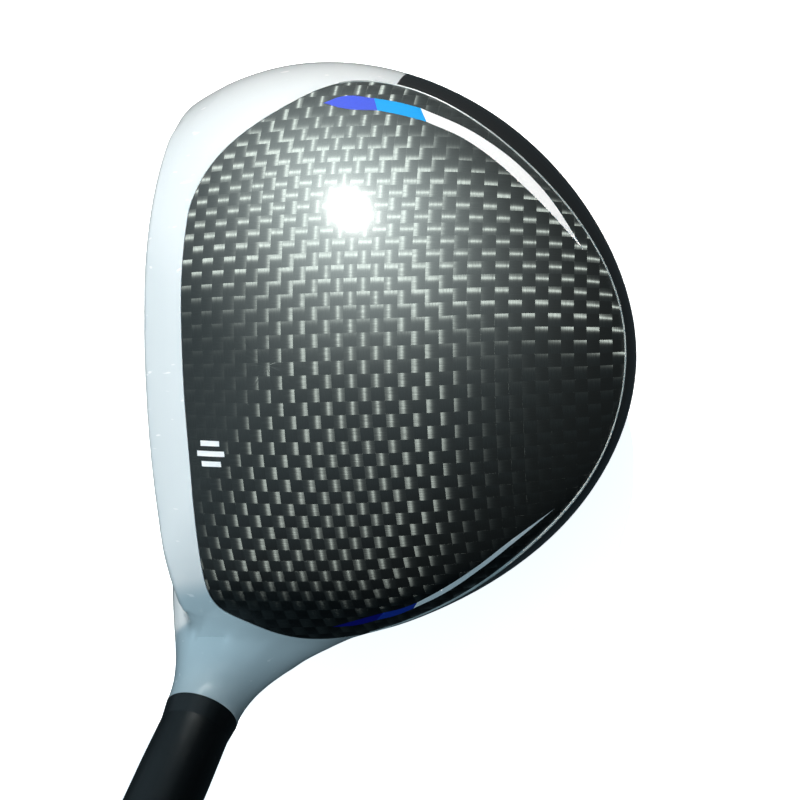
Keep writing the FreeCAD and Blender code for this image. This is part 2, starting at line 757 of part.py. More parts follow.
def make_hosel_bolt():
    foot = f"({BOLT_SEAT} - Sizes.bolt_head_length)"
    tip = f"({SLEEVE_FOOT} + Sizes.bolt_grip)"
    body = turned("hosel_bolt", [
        ("0", foot),
        ("Sizes.bolt_head_radius - 0.4", foot),
        ("Sizes.bolt_head_radius", f"{foot} + 0.4"),
        ("Sizes.bolt_head_radius", BOLT_SEAT),
        ("Sizes.bolt_thread_radius", BOLT_SEAT),
        ("Sizes.bolt_thread_radius", f"{tip} - 0.6"),
        ("Sizes.bolt_thread_radius - 0.6", tip),
        ("0", tip),
    ])
    wrench_socket(body, "hosel_bolt_socket", foot, True)
    return body


def make_bolt_washer():
    inner = "(Sizes.bolt_thread_radius + 0.1)"
    return turned("bolt_washer", [
        (inner, f"{BOLT_SEAT} + 0.02"),
        ("Sizes.washer_radius", f"{BOLT_SEAT} + 0.02"),
        ("Sizes.washer_radius", "Sizes.web_height - 0.05"),
        (inner, "Sizes.web_height - 0.05"),
    ])


def make_bolt_retainer():
    """An open spring ring in the bolt port: the bolt head comes to rest on it."""
    high = f"({BOLT_SEAT} - Sizes.bolt_head_length - Sizes.bolt_travel - 0.1)"
    low = f"({high} - Sizes.retainer_wall)"
    outer = "(Sizes.sleeve_radius + Sizes.sleeve_fit - 0.02)"
    body = turned("bolt_retainer", [
        ("Sizes.retainer_inner_radius", low),
        (outer, low),
        (outer, high),
        ("Sizes.retainer_inner_radius", high),
    ])
    gap = raised_sketch(body, "bolt_retainer_gap_outline", low)
    polygon(gap, [("0", "-1.2"), ("8", "-1.2"), ("8", "1.2"), ("0", "1.2")])
    cut_down(body, "bolt_retainer_gap", gap, "Sizes.retainer_wall", True)
    return body


def make_rear_weight():
    hole = "(Sizes.screw_thread_radius + 0.15)"
    recess = "(Sizes.screw_head_radius + 0.2)"
    return turned("rear_weight", [
        (hole, WEIGHT_LOW),
        ("Sizes.weight_radius", WEIGHT_LOW),
        ("Sizes.weight_radius", f"{WEIGHT_TOP} - 0.6"),
        ("Sizes.weight_radius - 0.6", WEIGHT_TOP),
        (recess, WEIGHT_TOP),
        (recess, f"{SCREW_SEAT} - 0.02"),
        (hole, f"{SCREW_SEAT} - 0.02"),
    ], on_weight_axis)


def make_weight_screw():
    top = f"({SCREW_SEAT} + Sizes.screw_head_length)"
    tip = f"({POCKET_FLOOR} - Sizes.screw_grip + 0.2)"
    body = turned("weight_screw", [
        ("0", tip),
        ("Sizes.screw_thread_radius - 0.6", tip),
        ("Sizes.screw_thread_radius", f"{tip} + 0.6"),
        ("Sizes.screw_thread_radius", SCREW_SEAT),
        ("Sizes.screw_head_radius", SCREW_SEAT),
        ("Sizes.screw_head_radius", f"{top} - 0.4"),
        ("Sizes.screw_head_radius - 0.4", top),
        ("0", top),
    ], on_weight_axis)
    wrench_socket(body, "weight_screw_socket", top, False)
    return body


def on_port(thing):
    thing.setExpression("Placement.Base.y", cell("port_back"))


def make_port_plug(sole_at_port):
    """Glue port plug. Its face lies just inside the sole, whose height is measured there."""
    sheet.set(f"A{len(SIZES) + 1}", "sole's height at the glue port, from the head's form")
    sheet.set(f"B{len(SIZES) + 1}", f"{sole_at_port:.4f}")
    sheet.setAlias(f"B{len(SIZES) + 1}", "port_sole_height")
    doc.recompute()
    low = "(Sizes.port_sole_height + Sizes.port_sink)"
    high = f"({low} + Sizes.port_depth)"
    body = turned("port_plug", [
        ("0", low),
        ("Sizes.port_radius - 0.3", low),
        ("Sizes.port_radius", f"{low} + 0.3"),
        ("Sizes.port_radius", high),
        ("0", high),
    ], on_port)
    wrench_socket(body, "port_plug_socket", low, True, "(Sizes.socket_radius * 0.7)")
    return body


def sole_height(y):
    """Height of the sole's outer surface straight under a point on the middle line."""
    probe = Part.makeLine(Vector(0, y, -10), Vector(0, y, 30))
    marks = head_form(0).common(probe).Vertexes
    return min(mark.Point.z for mark in marks)


# ---------------------------------------------------------------- the whole club

def check(parts):
    for item in doc.Objects:
        if "Invalid" in item.State or "Error" in item.State:
            raise RuntimeError(f"{item.Name} did not compute: {item.State}")
    for part in parts:
        if part.Shape.isNull() or not part.Shape.isValid():
            raise RuntimeError(f"{part.Label} has no valid shape")
        print(part.Label, len(part.Shape.Solids), round(part.Shape.Volume / 1000, 3), "cm3")


def main():
    parts = [add_free_form(name, shape) for name, shape in build_head().items()]
    parts += [
        make_sleeve(),
        make_ferrule(),
        make_shaft(),
        make_tip_bond(),
        make_tip_plug(),
        make_grip_tape(),
        make_grip(),
        make_hosel_bolt(),
        make_bolt_washer(),
        make_bolt_retainer(),
        make_rear_weight(),
        make_weight_screw(),
        make_port_plug(sole_height(size("port_back"))),
    ]
    doc.recompute()
    check(parts)
    os.makedirs("parts", exist_ok=True)
    for part in parts:
        part.Shape.exportStep(f"parts/{part.Label}.step")


main()
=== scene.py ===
"""Finishes for the golf driver: enamel, woven carbon, alloy, rubber and the small fitted parts.

All lengths are metres in the part's own frame. The origin lies under the sole, +X points to the
heel, -Y out through the face and +Z up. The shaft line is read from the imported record, so a piece
goes where the solids are.
"""

import json
import math

import bmesh
import bpy
from bpy.props import FloatProperty, FloatVectorProperty, IntProperty, PointerProperty
from mathutils import Euler, Matrix, Vector
from mathutils.bvhtree import BVHTree
from mathutils.kdtree import KDTree


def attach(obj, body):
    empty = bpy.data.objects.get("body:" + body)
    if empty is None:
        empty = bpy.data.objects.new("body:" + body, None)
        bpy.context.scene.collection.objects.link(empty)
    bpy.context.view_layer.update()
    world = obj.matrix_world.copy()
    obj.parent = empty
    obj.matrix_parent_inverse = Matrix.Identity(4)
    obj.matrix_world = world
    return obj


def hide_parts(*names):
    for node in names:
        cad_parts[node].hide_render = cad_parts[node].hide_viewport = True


bl_info = {
    "name": "Golf driver finishes",
    "version": (1, 0, 0),
    "blender": (4, 5, 0),
    "location": "View3D > Sidebar > Driver",
    "description": "Adds the finishes and the fine pieces of a golf driver to its solid parts",
    "category": "Object",
}

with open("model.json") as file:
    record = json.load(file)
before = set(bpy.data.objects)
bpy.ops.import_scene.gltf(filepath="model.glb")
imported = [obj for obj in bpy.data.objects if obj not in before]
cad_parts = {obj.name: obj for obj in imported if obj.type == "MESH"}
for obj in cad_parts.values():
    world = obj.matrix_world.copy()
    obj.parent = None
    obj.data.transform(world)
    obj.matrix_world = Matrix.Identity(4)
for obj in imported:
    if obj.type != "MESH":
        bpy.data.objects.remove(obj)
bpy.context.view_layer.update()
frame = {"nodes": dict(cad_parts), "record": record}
NODES = frame["nodes"]
MOUNTS = {mount["name"]: mount for mount in frame["record"]["mounts"]}

MM = 0.001
UP_SHAFT = Vector(MOUNTS["butt_vent"]["axis"]).normalized()
BUTT = Vector(MOUNTS["butt_vent"]["pos_m"])
SHAFT_FOOT = BUTT - UP_SHAFT * (BUTT.z / UP_SHAFT.z)


def linear(code):
    """A hex sRGB colour as linear light with full alpha."""
    parts = [int(code[place:place + 2], 16) / 255 for place in (0, 2, 4)]
    light = [part / 12.92 if part <= 0.04045 else ((part + 0.055) / 1.055) ** 2.4
             for part in parts]
    return (*light, 1.0)


def frame_along(foot, direction):
    """Placement whose Z runs along a direction from a point, with Y kept level."""
    turn = Vector((0, 0, 1)).rotation_difference(direction).to_matrix().to_4x4()
    return Matrix.Translation(foot) @ turn


ON_SHAFT = frame_along(SHAFT_FOOT, UP_SHAFT)
NECK_FOOT = SHAFT_FOOT + UP_SHAFT * 35 * MM
GRIP_LOW = 893 * MM
GRIP_HIGH = 1143 * MM
# Middle and radius of the ball the face is cut to, the toe end of its top edge, and the rear
# corner of the crown panel on the heel side.
FACE_MIDDLE = Vector((0, 286.9, -26.6)) * MM
FACE_RADIUS = 305 * MM
TOE_CORNER = Vector((-57, -4.4, 39.3)) * MM
HEEL_REAR = Vector((36, 62, 45)) * MM
BEAD_FRONT = 30 * MM
# Top of the black paint round the sole, the slant of the colour break, and how far to the heel
# the bare ring round the face goes.
SKIRT_TOP = 22 * MM
BREAK_SLANT = -0.11
RING_HEEL = 40 * MM
# Edges steeper than this were cut; the crease at the neck lies between the other two.
CUT_ANGLE = math.radians(70)
CREASE_ANGLES = (math.radians(12), math.radians(65))
# Gap between a print and the crown, and a height above every part of it.
PRINT_LIFT = 0.03 * MM
OVER_CROWN = 100 * MM
# The grip's pads repeat after this many rows, of which the first few stay plain.
BAND_PERIOD = 14
BAND_ROWS = 2


# ---------------------------------------------------------------- sizes and colours

def length(name, note, default):
    return FloatProperty(name=name, description=note, default=default * MM, unit="LENGTH",
                         precision=5)


def colour(name, note, code):
    return FloatVectorProperty(name=name, description=note, default=linear(code),
                               subtype="COLOR", size=4, min=0, max=1)


class DRIVER_PG_weave(bpy.types.PropertyGroup):
    pitch_x: length("Pitch across", "Tow spacing from toe to heel", 2.34)
    pitch_y: length("Pitch along", "Tow spacing from face to rear", 2.24)
    crimp: length("Crimp", "Rise of a tow where it passes over another", 0.15)
    tow: colour("Tow", "Sheen of the carbon tows", "212322")


class DRIVER_PG_paint(bpy.types.PropertyGroup):
    white: colour("White", "Enamel round the face and the hosel", "E3E9EA")
    black: colour("Black", "Enamel on the skirt and the sole", "050607")
    break_y: length("Colour break", "Where white meets black, behind the shaft line", 34.5)
    stripe_blue: colour("Stripe 1", "Toe stripe, first colour", "3F58DC")
    stripe_azure: colour("Stripe 2", "Toe stripe, second colour", "00A2EE")
    stripe_white: colour("Stripe 3", "Stripes, last colour", "FAFCFC")
    stripe_navy: colour("Stripe 4", "Heel stripe, first colour", "0A0F78")
    stripe_royal: colour("Stripe 5", "Heel stripe, second colour", "16369C")


class DRIVER_PG_grip(bpy.types.PropertyGroup):
    facets: IntProperty(name="Facets", description="Pads round the grip", default=44, min=12)
    rows: IntProperty(name="Rows", description="Pads along the grip", default=84, min=10)
    recess: length("Recess", "Depth of the pattern", 0.35)


PROPERTY_GROUPS = (DRIVER_PG_weave, DRIVER_PG_paint, DRIVER_PG_grip)


# ---------------------------------------------------------------- shared helpers

def plug(tree, socket, given):
    """Link an output, or the first output of a node, to a socket, or set the socket's value."""
    if isinstance(given, bpy.types.Node):
        given = given.outputs[0]
    if isinstance(given, bpy.types.NodeSocket):
        tree.links.new(given, socket)
    else:
        socket.default_value = given


def add(tree, kind, sockets=None, **settings):
    """Add a node with its settings; sockets hold plain values, nodes or outputs to link."""
    node = tree.nodes.new(kind)
    for key, setting in settings.items():
        setattr(node, key, setting)
    for key, given in (sockets or {}).items():
        plug(tree, node.inputs[key], given)
    return node


def new_material(name):
    """An empty material, its node tree and its shader."""
    material = bpy.data.materials.new(name)
    material.use_nodes = True
    tree = material.node_tree
    tree.nodes.clear()
    shader = add(tree, "ShaderNodeBsdfPrincipled")
    add(tree, "ShaderNodeOutputMaterial", {"Surface": shader})
    return material, tree, shader


def connect(tree, node, sockets):
    """Set or link several inputs of a node."""
    for key, given in sockets.items():
        plug(tree, node.inputs[key], given)


def dress(node_name, material):
    """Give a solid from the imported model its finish."""
    mesh = NODES[node_name].data
    mesh.materials.clear()
    mesh.materials.append(material)


def object_from(bm, name, body, material, smooth=True):
    """Turn a bmesh into a piece that rides on a body."""
    mesh = bpy.data.meshes.new(name)
    bm.to_mesh(mesh)
    bm.free()
    for face in mesh.polygons:
        face.use_smooth = smooth
    mesh.materials.append(material)
    piece = bpy.data.objects.new(name, mesh)
    bpy.context.scene.collection.objects.link(piece)
    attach(piece, body)
    return piece


def curve_mesh(curve):
    """The mesh of a curve, which is then dropped."""
    holder = bpy.data.objects.new(curve.name, curve)
    bpy.context.scene.collection.objects.link(holder)
    depsgraph = bpy.context.evaluated_depsgraph_get()
    mesh = bpy.data.meshes.new_from_object(holder.evaluated_get(depsgraph))
    bpy.data.objects.remove(holder)
    return mesh


def laid_on(bm, node_name, offset, straight_down=False):
    """Lay a bmesh on the surface of a solid, along Z or by the shortest way."""
    mesh = bpy.data.meshes.new("laid")
    bm.to_mesh(mesh)
    bm.free()
    holder = bpy.data.objects.new("laid", mesh)
    bpy.context.scene.collection.objects.link(holder)
    wrap = holder.modifiers.new("wrap", "SHRINKWRAP")
    wrap.target = NODES[node_name]
    wrap.offset = offset
    if straight_down:
        wrap.wrap_method = "PROJECT"
        wrap.use_project_z = True
        wrap.use_negative_direction = True
        wrap.use_positive_direction = False
    depsgraph = bpy.context.evaluated_depsgraph_get()
    done = bmesh.new()
    done.from_object(holder, depsgraph)
    bpy.data.objects.remove(holder)
    return done


def merged_copy(node_name):
    """A solid's surface with its loose triangles joined."""
    bm = bmesh.new()
    bm.from_mesh(NODES[node_name].data)
    bmesh.ops.remove_doubles(bm, verts=bm.verts, dist=0.001 * MM)
    return bm


# ---------------------------------------------------------------- enamel and face

def two_tone_enamel(paint):
    """Sprayed polyurethane enamel, white over black, on the cast shell, with the machined face
    ring left in its dark vapour coat: deep gloss with a trace of orange peel. A few pale specks are
    painted glints, where fine polishing marks would catch the light."""
    material, tree, shader = new_material("polyurethane_enamel_two_tone")
    place = add(tree, "ShaderNodeTexCoord").outputs["Object"]
    split = add(tree, "ShaderNodeSeparateXYZ", {0: place})
    line = add(tree, "ShaderNodeMath", {0: split.outputs[0], 1: BREAK_SLANT,
                                        2: paint.break_y},
               operation="MULTIPLY_ADD")
    behind = add(tree, "ShaderNodeMath", {0: split.outputs[1], 1: line}, operation="GREATER_THAN")
    low = add(tree, "ShaderNodeMath", {0: split.outputs[2], 1: SKIRT_TOP}, operation="LESS_THAN")
    black = add(tree, "ShaderNodeMath", {0: behind, 1: low}, operation="MAXIMUM")
    from_middle = add(tree, "ShaderNodeVectorMath", {0: place, 1: FACE_MIDDLE},
                      operation="DISTANCE")
    on_ball = add(tree, "ShaderNodeMath", {0: from_middle.outputs["Value"], 1: FACE_RADIUS,
                                           2: 0.2 * MM}, operation="COMPARE")
    off_neck = add(tree, "ShaderNodeMath", {0: split.outputs[0], 1: RING_HEEL},
                   operation="LESS_THAN")
    ring = add(tree, "ShaderNodeMath", {0: on_ball, 1: off_neck}, operation="MULTIPLY")
    # Painted glints: pale specks mixed into the white, standing in for light caught by fine
    # polishing marks.
    glint_specks_place = add(tree, "ShaderNodeMapping", {0: place, 2: (0.3, 0.5, 0.4),
                                                  3: (900, 260, 500)})
    marks = add(tree, "ShaderNodeTexNoise", {"Vector": glint_specks_place, "Scale": 1.0,
                                             "Detail": 1.0})
    bright = add(tree, "ShaderNodeMapRange", {"Value": marks, "From Min": 0.72,
                                              "From Max": 0.78})
    white = add(tree, "ShaderNodeMix", {"Factor": bright, "A": tuple(paint.white),
                                        "B": (1, 1, 1, 1)}, data_type="RGBA")
    enamel = add(tree, "ShaderNodeMix", {"Factor": black, "A": white.outputs["Result"],
                                         "B": tuple(paint.black)}, data_type="RGBA")
    tint = add(tree, "ShaderNodeMix", {"Factor": ring, "A": enamel.outputs["Result"],
                                       "B": linear("5A5B5F")}, data_type="RGBA")
    peel = add(tree, "ShaderNodeTexNoise", {"Vector": place, "Scale": 1 / (1.6 * MM),
                                            "Detail": 2.0})
    bump = add(tree, "ShaderNodeBump", {"Height": peel, "Strength": 0.25,
                                        "Distance": 0.01 * MM})
    coat = add(tree, "ShaderNodeMath", {0: 1.0, 1: ring}, operation="SUBTRACT")
    connect(tree, shader, {"Base Color": tint.outputs["Result"], "Metallic": ring,
                           "Roughness": 0.36, "Specular IOR Level": 0.4,
                           "Coat Weight": coat, "Coat Roughness": 0.09, "Coat IOR": 1.5,
                           "Normal": bump, "Coat Normal": bump})
    return material


def vapour_coated_titanium():
    """Forged titanium, brushed and then vapour coated dark: a satin grey with fine level lines."""
    material, tree, shader = new_material("vapour_coated_titanium")
    place = add(tree, "ShaderNodeTexCoord").outputs["Object"]
    grain = add(tree, "ShaderNodeMapping", {0: place, 3: (40, 400, 9000)})
    lines = add(tree, "ShaderNodeTexNoise", {"Vector": grain, "Scale": 1.0, "Detail": 3.0})
    tint = add(tree, "ShaderNodeMix", {"Factor": lines, "A": linear("4A4B4E"),
                                       "B": linear("6A6C70")}, data_type="RGBA")
    bump = add(tree, "ShaderNodeBump", {"Height": lines, "Strength": 0.3,
                                        "Distance": 0.01 * MM})
    connect(tree, shader, {"Base Color": tint.outputs["Result"], "Metallic": 1.0,
                           "Roughness": 0.34, "Normal": bump})
    return material


def is_cut(edge):
    """Whether an edge is a cut edge of the shell, which stays sharp."""
    return edge.calc_face_angle(0) > CUT_ANGLE


def around(seeds, reach):
    """Vertices joined to the seeds without crossing a cut edge and within a reach of them."""
    near = KDTree(len(seeds))
    for index, vert in enumerate(seeds):
        near.insert(vert.co, index)
    near.balance()
    found = set(seeds)
    front = list(seeds)
    while front:
        vert = front.pop()
        for edge in vert.link_edges:
            other = edge.other_vert(vert)
            if other in found or is_cut(edge) or near.find(other.co)[2] > reach:
                continue
            found.add(other)
            front.append(other)
    return [vert for vert in found if not any(is_cut(edge) for edge in vert.link_edges)]


def crease_seeds(bm):
    """Outer vertices of the hollow crease where the neck runs into the head."""
    skin = BVHTree.FromBMesh(bm)
    seeds = set()
    for edge in bm.edges:
        if edge.is_convex or not CREASE_ANGLES[0] < edge.calc_face_angle(0) < CREASE_ANGLES[1]:
            continue
        for vert in edge.verts:
            if (vert.co - NECK_FOOT).length > 40 * MM or vert.co.z < 15 * MM:
                continue
            free = skin.ray_cast(vert.co + vert.normal * 0.2 * MM, vert.normal, 0.2)[0] is None
            if free:
                seeds.add(vert)
    return list(seeds)


def corner_seeds(bm):
    """Vertices at the toe end of the rounded top edge of the face."""
    return [vert for vert in bm.verts if (vert.co - TOE_CORNER).length < 2.5 * MM]


class DRIVER_OT_shell(bpy.types.Operator):
    """Cast shell with the neck and the toe corner blended, in its enamel"""

    bl_idname = "driver.shell"
    bl_label = "Shell"

    def execute(self, context):
        bm = merged_copy("head_body")
        for seeding, reach, rounds in ((crease_seeds, 8 * MM, 60), (corner_seeds, 7 * MM, 16)):
            for _ in range(2):
                soft = around(seeding(bm), reach)
                long = {edge for vert in soft for edge in vert.link_edges
                        if edge.calc_length() > 1.2 * MM and not is_cut(edge)}
                bmesh.ops.subdivide_edges(bm, edges=list(long), cuts=1)
                bmesh.ops.triangulate(bm, faces=bm.faces)
            soft = around(seeding(bm), reach)
            for _ in range(rounds):
                bmesh.ops.smooth_vert(bm, verts=soft, factor=0.5, use_axis_x=True,
                                      use_axis_y=True, use_axis_z=True)
        bmesh.ops.recalc_face_normals(bm, faces=bm.faces)
        shell = object_from(bm, "blended_shell", "head",
                            two_tone_enamel(context.scene.driver_paint))
        mesh = shell.data
        if "custom_normal" in mesh.attributes:
            mesh.attributes.remove(mesh.attributes["custom_normal"])
        mesh.set_sharp_from_angle(angle=math.radians(35))
        even = shell.modifiers.new("even_shading", "WEIGHTED_NORMAL")
        even.keep_sharp = True
        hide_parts("head_body")
        return {"FINISHED"}


class DRIVER_OT_face(bpy.types.Operator):
    """Vapour coat on the face plate"""

    bl_idname = "driver.face"
    bl_label = "Face plate"

    def execute(self, context):
        dress("face_plate", vapour_coated_titanium())
        return {"FINISHED"}


# ---------------------------------------------------------------- carbon

def woven_carbon(weave, name, coat_roughness, haze_share):
    """Plain-weave carbon under a clear coat. Each tow reflects like brushed hair, so the sheen
    lies across it and moves along it with the crimp, which leaves bright bars on a dark check.
    A little of the light is scattered by handling marks in the coat and lies as a haze round
    the highlight. The filaments are far too fine to show and are drawn 0.12 mm apart."""
    material, tree, shader = new_material(name)
    place = add(tree, "ShaderNodeTexCoord").outputs["Object"]
    drift = add(tree, "ShaderNodeTexNoise", {"Vector": place, "Scale": 25.0, "Detail": 1.0})
    drift_off = add(tree, "ShaderNodeVectorMath", {0: drift.outputs["Color"], 1: (0.5,) * 3},
                    operation="SUBTRACT")
    cells = add(tree, "ShaderNodeVectorMath",
                {0: place, 1: (1 / weave.pitch_x, 1 / weave.pitch_y, 0)}, operation="MULTIPLY")
    warped = add(tree, "ShaderNodeVectorMath", {0: drift_off, 1: (0.55,) * 3, 2: cells},
                 operation="MULTIPLY_ADD")
    split = add(tree, "ShaderNodeSeparateXYZ", {0: warped})
    column = add(tree, "ShaderNodeMath", {0: split.outputs[0]}, operation="FLOOR")
    row = add(tree, "ShaderNodeMath", {0: split.outputs[1]}, operation="FLOOR")
    in_x = add(tree, "ShaderNodeMath", {0: split.outputs[0]}, operation="FRACT")
    in_y = add(tree, "ShaderNodeMath", {0: split.outputs[1]}, operation="FRACT")
    cell = add(tree, "ShaderNodeMath", {0: column, 1: row}, operation="ADD")
    over = add(tree, "ShaderNodeMath", {0: cell, 1: 2.0}, operation="FLOORED_MODULO")
    along = add(tree, "ShaderNodeMix", {"Factor": over, "A": in_x, "B": in_y})
    across = add(tree, "ShaderNodeMix", {"Factor": over, "A": in_y, "B": in_x})
    turn = add(tree, "ShaderNodeMath", {0: along, 1: math.pi, 2: -math.pi / 2},
               operation="MULTIPLY_ADD")
    arch = add(tree, "ShaderNodeMath", {0: turn}, operation="COSINE")
    width = add(tree, "ShaderNodeMath", {0: across, 1: 1.96, 2: -0.98},
                operation="MULTIPLY_ADD")
    square = add(tree, "ShaderNodeMath", {0: width, 1: width}, operation="MULTIPLY")
    rest = add(tree, "ShaderNodeMath", {0: 1.0, 1: square}, operation="SUBTRACT")
    belly = add(tree, "ShaderNodeMath", {0: rest}, operation="SQRT")
    height = add(tree, "ShaderNodeMath", {0: belly, 1: 0.35, 2: arch},
                 operation="MULTIPLY_ADD")
    bump = add(tree, "ShaderNodeBump", {"Height": height, "Strength": 1.0,
                                        "Distance": weave.crimp})
    across_tow = add(tree, "ShaderNodeMix", {"Factor": over, "A": (0, 1, 0), "B": (1, 0, 0)},
                     data_type="VECTOR")
    filament_x = add(tree, "ShaderNodeMath", {0: across, 1: 18.0}, operation="MULTIPLY")
    filament_y = add(tree, "ShaderNodeMath", {0: along, 1: 1.2}, operation="MULTIPLY")
    filament_z = add(tree, "ShaderNodeMath", {0: cell, 1: 3.7}, operation="MULTIPLY")
    filament_place = add(tree, "ShaderNodeCombineXYZ",
                         {0: filament_x, 1: filament_y, 2: filament_z})
    filament = add(tree, "ShaderNodeTexNoise", {"Vector": filament_place, "Scale": 1.0,
                                                "Detail": 2.0})
    shade = add(tree, "ShaderNodeMapRange", {"Value": filament, "From Min": 0.3,
                                             "From Max": 0.7, "To Min": 0.6, "To Max": 1.35})
    tint = add(tree, "ShaderNodeVectorMath", {0: tuple(weave.tow)[:3],
                                              "Scale": shade.outputs[0]}, operation="SCALE")
    grit = add(tree, "ShaderNodeTexNoise", {"Vector": place, "Scale": 1 / (0.35 * MM),
                                            "Detail": 1.0})
    satin = add(tree, "ShaderNodeBump", {"Height": grit, "Strength": 0.35,
                                         "Distance": 0.006 * MM})
    connect(tree, shader, {"Base Color": tint, "Metallic": 1.0, "Roughness": 0.58,
                           "Anisotropic": 1.0, "Tangent": across_tow.outputs[1],
                           "Normal": bump, "Coat Weight": 0.2,
                           "Coat Roughness": coat_roughness, "Coat IOR": 1.5,
                           "Coat Normal": satin})
    haze = add(tree, "ShaderNodeBsdfAnisotropic",
               {"Color": [part * haze_share for part in (0.88, 1.0, 1.02)] + [1],
                "Roughness": 0.55, "Normal": satin})
    both = add(tree, "ShaderNodeAddShader", {0: shader, 1: haze})
    connect(tree, tree.nodes["Material Output"], {"Surface": both})
    return material


class DRIVER_OT_carbon(bpy.types.Operator):
    """Woven carbon on the crown and the sole panels"""

    bl_idname = "driver.carbon"
    bl_label = "Carbon panels"

    def execute(self, context):
        weave = context.scene.driver_weave
        crown = woven_carbon(weave, "plain_weave_carbon_satin_clear", 0.13, 0.014)
        dress("crown_panel", crown)
        sole = woven_carbon(weave, "plain_weave_carbon_gloss_clear", 0.08, 0.005)
        dress("sole_panel_toe", sole)
        dress("sole_panel_heel", sole)
        return {"FINISHED"}


# ---------------------------------------------------------------- stripes and mark

def printed_ink(name, tint):
    """Screen-printed ink under the clear coat: even colour with a faint tooth."""
    material, tree, shader = new_material(name)
    place = add(tree, "ShaderNodeTexCoord").outputs["Object"]
    tooth = add(tree, "ShaderNodeTexNoise", {"Vector": place, "Scale": 1 / (0.5 * MM),
                                             "Detail": 2.0})
    shade = add(tree, "ShaderNodeMapRange", {"Value": tooth, "To Min": 0.93, "To Max": 1.05})
    ink = add(tree, "ShaderNodeVectorMath", {0: tuple(tint)[:3], "Scale": shade.outputs[0]},
              operation="SCALE")
    connect(tree, shader, {"Base Color": ink, "Roughness": 0.6, "Specular IOR Level": 0.05,
                           "Coat Weight": 0.2, "Coat Roughness": 0.13, "Coat IOR": 1.5})
    return material


def print_on_crown(name, outlines, material):
    """Lay flat closed outlines on the crown as a skin a few hundredths of a millimetre off.
    A corner with a third entry is a sharp one; the others lie on a smooth line."""
    curve = bpy.data.curves.new(name, "CURVE")
    curve.dimensions = "2D"
    curve.fill_mode = "BOTH"
    for corners in outlines:
        spline = curve.splines.new("BEZIER")
        spline.bezier_points.add(len(corners) - 1)
        for point, (x, y, *sharp) in zip(spline.bezier_points, corners):
            point.co = (x * MM, y * MM, 0)
            kind = "VECTOR" if sharp else "AUTO"
            point.handle_left_type = kind
            point.handle_right_type = kind
        spline.use_cyclic_u = True
    bm = bmesh.new()
    bm.from_mesh(curve_mesh(curve))
    bmesh.ops.remove_doubles(bm, verts=bm.verts, dist=0.001 * MM)
    for axis, normal in enumerate((Vector((1, 0, 0)), Vector((0, 1, 0)))):
        low = min(vert.co[axis] for vert in bm.verts)
        high = max(vert.co[axis] for vert in bm.verts)
        for step in range(1, int((high - low) / (1.0 * MM)) + 1):
            geometry = bm.verts[:] + bm.edges[:] + bm.faces[:]
            bmesh.ops.bisect_plane(bm, geom=geometry, plane_co=normal * (low + step * MM),
                                   plane_no=normal)
    bmesh.ops.translate(bm, verts=bm.verts, vec=(0, 0, OVER_CROWN))
    bmesh.ops.recalc_face_normals(bm, faces=bm.faces)
    if sum(face.normal.z for face in bm.faces) < 0:
        bmesh.ops.reverse_faces(bm, faces=bm.faces)
    laid = laid_on(bm, "crown_panel", PRINT_LIFT, straight_down=True)
    return object_from(laid, name, "head", material)


# Stripe outlines on the crown in millimetres, seen from above. "s" marks a sharp corner.
STRIPES = (
    ("stripe_toe_blue", "stripe_blue",
     [(-52.2, 28.6, "s"), (-53.6, 32.0), (-53.0, 37.6, "s"), (-50.2, 38.7, "s"), (-50.7, 33.0)]),
    ("stripe_toe_azure", "stripe_azure",
     [(-53.0, 37.6, "s"), (-52.2, 41.6), (-50.9, 46.0, "s"), (-47.8, 47.5, "s"), (-49.1, 43.2),
      (-50.2, 38.7, "s")]),
    ("stripe_toe_white", "stripe_white",
     [(-50.9, 46.0, "s"), (-45.2, 56.9), (-35.7, 67.5), (-23.7, 75.3, "s"), (-34.3, 65.9),
      (-44.0, 54.9), (-47.8, 47.5, "s")]),
    ("stripe_heel_navy", "stripe_navy",
     [(49.7, 25.4, "s"), (49.6, 30.0), (48.5, 34.0, "s"), (46.3, 36.0, "s"), (47.9, 30.8)]),
    ("stripe_heel_royal", "stripe_royal",
     [(48.5, 34.0, "s"), (47.5, 38.0), (45.9, 41.6, "s"), (44.2, 42.7, "s"), (45.6, 39.2),
      (46.3, 36.0, "s")]),
    ("stripe_heel_white", "stripe_white",
     [(45.9, 41.6, "s"), (42.4, 48.0), (37.1, 55.2), (31.4, 62.0), (25.0, 69.5, "s"),
      (30.7, 61.6), (36.3, 54.7), (41.3, 47.6), (44.2, 42.7, "s")]),
)
# Three short bars beside the middle of the face, to aim by.
AIM_BARS = tuple((11.9 + 1.9 * step, 6.6 + 0.9 * abs(step), 12.6 - 0.9 * abs(step))
                 for step in (-1, 0, 1))


class DRIVER_OT_stripes(bpy.types.Operator):
    """Printed stripes along the rear of the crown, and the aiming bars at its front"""

    bl_idname = "driver.stripes"
    bl_label = "Crown prints"

    def execute(self, context):
        paint = context.scene.driver_paint
        inks = {}
        for name, tint, outline in STRIPES:
            if tint not in inks:
                inks[tint] = printed_ink("printed_ink_" + tint.split("_")[1], getattr(paint, tint))
            print_on_crown(name, [outline], inks[tint])
        bars = []
        for middle, start, end in AIM_BARS:
            bars.append([(middle - 0.5, start, "s"), (middle + 0.5, start, "s"),
                         (middle + 0.5, end, "s"), (middle - 0.5, end, "s")])
        print_on_crown("aiming_bars", bars, inks["stripe_white"])
        return {"FINISHED"}
